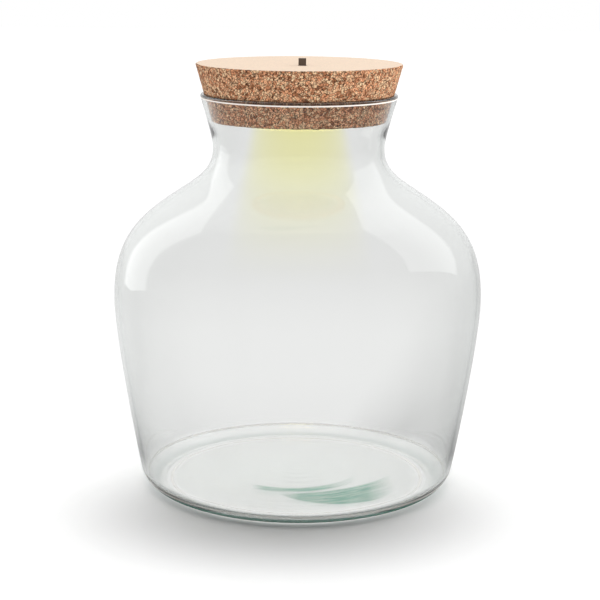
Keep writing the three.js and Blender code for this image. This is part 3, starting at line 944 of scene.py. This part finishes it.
class TERRARIUM_OT_lamp_shell(bpy.types.Operator):
    """Builds the lamp's cap ring and lens, and finishes its housing"""

    bl_idname = "terrarium.lamp_shell"
    bl_label = "Lamp Shell"

    def execute(self, context):
        lamp = context.scene.terrarium_lamp
        plastic = moulded_plastic(
            "polypropylene_white_moulded", lamp.shell, 0.45, 0.4 * MM, 0.02 * MM
        )
        cap = new_object("lamp_cap_ring", self.cap_ring(), plastic)
        place(cap, "jar", "white_plastic", "lamp_cap")
        lens = new_object("lamp_lens", self.lens(), lit_frosted_lens(lamp))
        place(lens, "jar", "frosted_plastic", "lamp_diffuser")
        refinish("lamp_housing", plastic)
        return {"FINISHED"}

    def cap_ring(self):
        """Flange with a rolled outer edge, a lip for the lens and a skirt."""
        flange_top = CORK_LOW.z - GAP
        roll = 0.7 * MM
        ease = 0.2 * MM
        opening = 31 * MM
        skirt_out = HOUSING_HIGH.x - 2.1 * MM
        skirt_in = skirt_out - 1.6 * MM
        lip_top = CAP_LOW.z + 0.9 * MM
        turns = np.linspace(-math.pi / 2, math.pi / 2, 9)
        middle, half = (CAP_LOW.z + flange_top) / 2, (flange_top - CAP_LOW.z) / 2
        outer = np.stack(
            [CAP_HIGH.x - roll + roll * np.cos(turns), middle + half * np.sin(turns)], 1
        )
        profile = np.concatenate([
            [(opening, CAP_LOW.z + ease), (opening + ease, CAP_LOW.z)],
            outer,
            [(skirt_out, flange_top), (skirt_out, CAP_HIGH.z - ease)],
            [(skirt_out - ease, CAP_HIGH.z), (skirt_in + ease, CAP_HIGH.z)],
            [(skirt_in, CAP_HIGH.z - ease), (skirt_in, lip_top), (opening, lip_top)],
        ])
        mesh = lathe("lamp_cap_ring", profile, 128, closed=True)
        mesh.set_sharp_from_angle(angle=math.radians(35))
        return mesh

    def lens(self):
        """Domed lens whose underside has shallow ring prisms."""
        thickness = 1.4 * MM
        rim = LENS_HIGH.z - thickness
        dome_radius = 30.7 * MM
        radius = np.linspace(0, dome_radius, 63)
        dome = -(rim - LENS_LOW.z) * (1 - (radius / dome_radius) ** 2)
        prisms = 0.12 * MM * (0.5 + 0.5 * np.cos(2 * math.pi * radius / (2 * MM)))
        under = np.stack([radius, rim + dome + prisms], 1)
        over = np.stack([radius, rim + thickness + dome], 1)
        edge = [(LENS_HIGH.x, rim), (LENS_HIGH.x, LENS_HIGH.z)]
        return lathe("lamp_lens", np.concatenate([under, edge, over[::-1]]), 128)


class TERRARIUM_OT_lamp_inside(bpy.types.Operator):
    """Finishes the board, light chips, cells, tray, contacts, switch and wires"""

    bl_idname = "terrarium.lamp_inside"
    bl_label = "Lamp Inside"

    def execute(self, context):
        lamp = context.scene.terrarium_lamp
        black = moulded_plastic("abs_black_moulded", "#1e1e1f", 0.55, 0.3 * MM, 0.03 * MM)
        red = moulded_plastic("pvc_red_extruded", "#a8231c", 0.4, 0.3 * MM, 0.01 * MM)
        dark = moulded_plastic("pvc_black_extruded", "#1b1b1b", 0.4, 0.3 * MM, 0.01 * MM)
        refinish("led_board", solder_masked_board(), 0.1 * MM)
        chip, jacket, nickel = phosphor_chip(lamp), shrink_jacket(), nickel_strip()
        for node in frame["nodes"]:
            kind, _, rest = node.partition("_")
            if kind == "led" and rest.isdigit():
                refinish(node, chip)
            elif kind == "battery" and rest.isdigit():
                refinish(node, jacket)
            elif kind == "contact":
                refinish(node, nickel, 0.05 * MM)
        for node in ("battery_tray", "switch_body", "led_resistor"):
            refinish(node, black)
        refinish("wire_supply", red, 0)
        refinish("wire_switched", dark, 0)
        return {"FINISHED"}


# ------------------------------------------------------------------ studio


# Where each soft-box stands: its azimuth in degrees, anticlockwise from +X, its spans
# sideways and upwards as shares of its distance, and its lean in degrees.
SOFTBOXES = {
    "left": (137, (-0.12, 0.42), (0.0, 1.3), -12.8),
    "right": (34, (-0.62, 0.42), (0.34, 1.95), 36),
    "fill": (-10, (-0.5, 0.5), (0.1, 1.0), 0),
}

# Distances over which the floor changes: out of its painted glow under the jar, out of the
# painted shadow round the jar, over its fall-off behind the jar, and into the room that shows
# through the glass.
UNDER_JAR = (0.108, 0.092)
OUT_OF_SHADOW = (0.02, 0.158)
FALL_OFF = (0.1, 1.3)
SHOWS_ROOM = (0.095, 0.15)
SHADOW_ASIDE, SHADOW_NARROWING = -0.006, 0.83
FLOOR_HALF_WIDTH = 6.0


def light_cone(lamp):
    """The lamp's light in the air below it, as part of the stage: it takes out blue, most
    along its middle, and fades downwards and to its sides."""
    material, tree, where = new_material("lamp_light_in_air")
    height = add(tree, "SeparateXYZ", {"Vector": where}).outputs["Z"]
    top, end = LENS_LOW.z, LENS_LOW.z - lamp.beam_reach
    edge = ramp(tree, height, end, top, lamp.beam_end, lamp.beam_top)
    share = calc(tree, "DIVIDE", off_axis(tree, where), edge)
    across = ramp(tree, share, 1.0, 0.75, interpolation_type="SMOOTHSTEP")
    fading = calc(tree, "POWER", ramp(tree, height, end, top), 1.8)
    full = calc(tree, "MULTIPLY", fading, lamp.beam_density)
    density = calc(tree, "MULTIPLY", across, full)
    air = add(tree, "VolumeAbsorption", {
        "Color": linear(lamp.beam_tint), "Density": density,
    })
    strength = calc(tree, "MULTIPLY", density, lamp.beam_light)
    light = add(tree, "Emission", {"Color": linear(lamp.warm), "Strength": strength})
    add(tree, "OutputMaterial", {"Volume": add(tree, "AddShader", {0: air, 1: light})})
    profile = [(0, end), (lamp.beam_end, end), (lamp.beam_top, top), (0, top)]
    return new_object("lamp_light", lathe("lamp_light", profile, 96), material)


def floor_with_painted_shadow(studio):
    """White floor with a painted glow under the jar and past a ring round it; the ring without
    glow is a painted shadow over the shade that the jar casts. Through the glass it shows the
    flagged room."""
    material, tree, where = new_material("white_floor_painted_shadow_and_glow")
    from_jar = vector_calc(tree, "LENGTH", where)
    narrowed = vector_calc(tree, "MULTIPLY", where, (SHADOW_NARROWING, 1, 1))
    shadow_middle = (SHADOW_ASIDE, -studio.shadow_shift, 0)
    from_shadow = vector_calc(tree, "DISTANCE", narrowed, shadow_middle)
    soft = {"interpolation_type": "SMOOTHSTEP"}
    # Painted glow under the jar and past a ring round it; the ring without glow is the painted
    # shadow.
    under = ramp(tree, from_jar, *UNDER_JAR, **soft)
    around = ramp(tree, from_shadow, *OUT_OF_SHADOW, 0.0, studio.far_floor, **soft)
    below = add(tree, "Mix", {0: under, 2: around, 3: studio.under_jar})
    scattered = add(tree, "BsdfDiffuse", {"Color": linear(studio.floor)})
    lit = add(tree, "Emission", {"Strength": below})
    surface = add(tree, "AddShader", {0: scattered, 1: lit})
    falling = graded(tree, ramp(tree, from_jar, *FALL_OFF), [
        (0.0, grey(0.96)), (0.15, grey(1)), (0.3, grey(1)), (0.6, grey(studio.backdrop)),
    ])
    room = flagged_room(tree, studio, vector_calc(tree, "NORMALIZE", where))
    mirrored = add(tree, "Emission", {"Strength": calc(tree, "MULTIPLY", room, falling)})
    far = ramp(tree, from_jar, *SHOWS_ROOM, **soft)
    through = calc(tree, "MULTIPLY", far, seen_through_glass(tree))
    shown = add(tree, "MixShader", {0: through, 1: surface, 2: mirrored})
    add(tree, "OutputMaterial", {"Surface": shown})
    return material


class TERRARIUM_OT_studio(bpy.types.Operator):
    """Sets the white floor, the surroundings, the soft-boxes, the light and the camera"""

    bl_idname = "terrarium.studio"
    bl_label = "Studio"

    def execute(self, context):
        studio = context.scene.terrarium_studio
        context.scene.view_settings.view_transform = "Standard"
        bpy.data.collections.new(SOFTBOX_LIT)
        self.make_camera(context.scene, studio)
        self.make_floor(studio)
        self.make_surroundings(context.scene, studio)
        self.softbox("left", studio.softbox, studio.softbox_distance)
        self.softbox("right", studio.softbox, studio.softbox_distance)
        fill = self.softbox("fill", studio.fill, studio.softbox_distance)
        fill.visible_glossy = fill.visible_transmission = False
        light_cone(context.scene.terrarium_lamp)
        return {"FINISHED"}

    def make_camera(self, scene, studio):
        data = bpy.data.cameras.new("camera")
        data.sensor_width = 36
        data.lens = studio.lens
        camera = bpy.data.objects.new("camera", data)
        scene.collection.objects.link(camera)
        camera.location = (studio.camera_aside, -studio.camera_distance, studio.camera_height)
        tilt = Euler((math.pi / 2 - studio.camera_pitch, 0, 0)).to_matrix()
        roll = Euler((0, 0, studio.camera_roll)).to_matrix()
        camera.rotation_euler = (tilt @ roll).to_euler()
        scene.camera = camera

    def make_floor(self, studio):
        bm = bmesh.new()
        bmesh.ops.create_grid(bm, x_segments=8, y_segments=8, size=FLOOR_HALF_WIDTH)
        mesh = bpy.data.meshes.new("studio_floor")
        bm.to_mesh(mesh)
        bm.free()
        new_object("studio_floor", mesh, floor_with_painted_shadow(studio))

    def make_surroundings(self, scene, studio):
        """Even white light from all round, of which the glass mirrors a flagged room."""
        world = bpy.data.worlds.new("studio_surroundings")
        world.use_nodes = True
        tree = world.node_tree
        tree.nodes.clear()
        direction = add(tree, "TexCoord").outputs["Generated"]
        path = add(tree, "LightPath")
        even = add(tree, "Mix", {
            0: path.outputs["Is Transmission Ray"], 2: studio.room, 3: studio.behind_glass,
        })
        strength = add(tree, "Mix", {
            0: seen_through_glass(tree), 2: even, 3: flagged_room(tree, studio, direction),
        })
        shown = calc(tree, "MAXIMUM", strength, path.outputs["Is Camera Ray"])
        background = add(tree, "Background", {"Color": grey(1), "Strength": shown})
        add(tree, "OutputWorld", {"Surface": background})
        scene.world = world

    def softbox(self, name, radiance, reach):
        """Soft-box in an upright plane that faces the jar's axis from its azimuth."""
        turn, across, up, lean = SOFTBOXES[name]
        turn, lean = math.radians(turn), math.radians(lean)
        facing = Vector((math.cos(turn), math.sin(turn), 0))
        sideways = Vector((-math.sin(turn), math.cos(turn), 0))
        upright = Vector((0, 0, 1))
        data = bpy.data.lights.new("softbox_" + name, "AREA")
        data.shape = "RECTANGLE"
        data.size = (across[1] - across[0]) * reach
        data.size_y = (up[1] - up[0]) * reach
        data.energy = radiance * math.pi * data.size * data.size_y
        light = bpy.data.objects.new("softbox_" + name, data)
        bpy.context.scene.collection.objects.link(light)
        light.location = (facing + sideways * sum(across) / 2 + upright * sum(up) / 2) * reach
        long_way = sideways * math.sin(lean) + upright * math.cos(lean)
        axes = Matrix((long_way.cross(facing), long_way, facing)).transposed()
        light.rotation_euler = axes.to_euler()
        light.light_linking.receiver_collection = bpy.data.collections[SOFTBOX_LIT]
        return light


# ------------------------------------------------------------------ add-on


class TERRARIUM_PT_panel(bpy.types.Panel):
    """Lists the operators and settings in the sidebar"""

    bl_idname = "TERRARIUM_PT_panel"
    bl_label = "Terrarium Jar"
    bl_space_type = "VIEW_3D"
    bl_region_type = "UI"
    bl_category = "Terrarium"

    def draw(self, context):
        for operator in OPERATORS:
            self.layout.operator(operator.bl_idname)
        for group, cls in SETTINGS.items():
            box = self.layout.box()
            for name in cls.__annotations__:
                box.prop(getattr(context.scene, group), name)


SETTINGS = {
    "terrarium_jar": TerrariumJarSettings,
    "terrarium_cork": TerrariumCorkSettings,
    "terrarium_lamp": TerrariumLampSettings,
    "terrarium_studio": TerrariumStudioSettings,
}
OPERATORS = (
    TERRARIUM_OT_studio,
    TERRARIUM_OT_glass_jar,
    TERRARIUM_OT_cork_stopper,
    TERRARIUM_OT_switch_lever,
    TERRARIUM_OT_lamp_shell,
    TERRARIUM_OT_lamp_inside,
)


def register():
    for cls in (*SETTINGS.values(), *OPERATORS, TERRARIUM_PT_panel):
        bpy.utils.register_class(cls)
    for name, cls in SETTINGS.items():
        setattr(bpy.types.Scene, name, PointerProperty(type=cls))


def unregister():
    for name in SETTINGS:
        delattr(bpy.types.Scene, name)
    for cls in reversed((*SETTINGS.values(), *OPERATORS, TERRARIUM_PT_panel)):
        bpy.utils.unregister_class(cls)


def main():
    register()
    bpy.ops.terrarium.studio()
    bpy.ops.terrarium.glass_jar()
    bpy.ops.terrarium.cork_stopper()
    bpy.ops.terrarium.switch_lever()
    bpy.ops.terrarium.lamp_shell()
    bpy.ops.terrarium.lamp_inside()


if __name__ == "__main__":
    main()
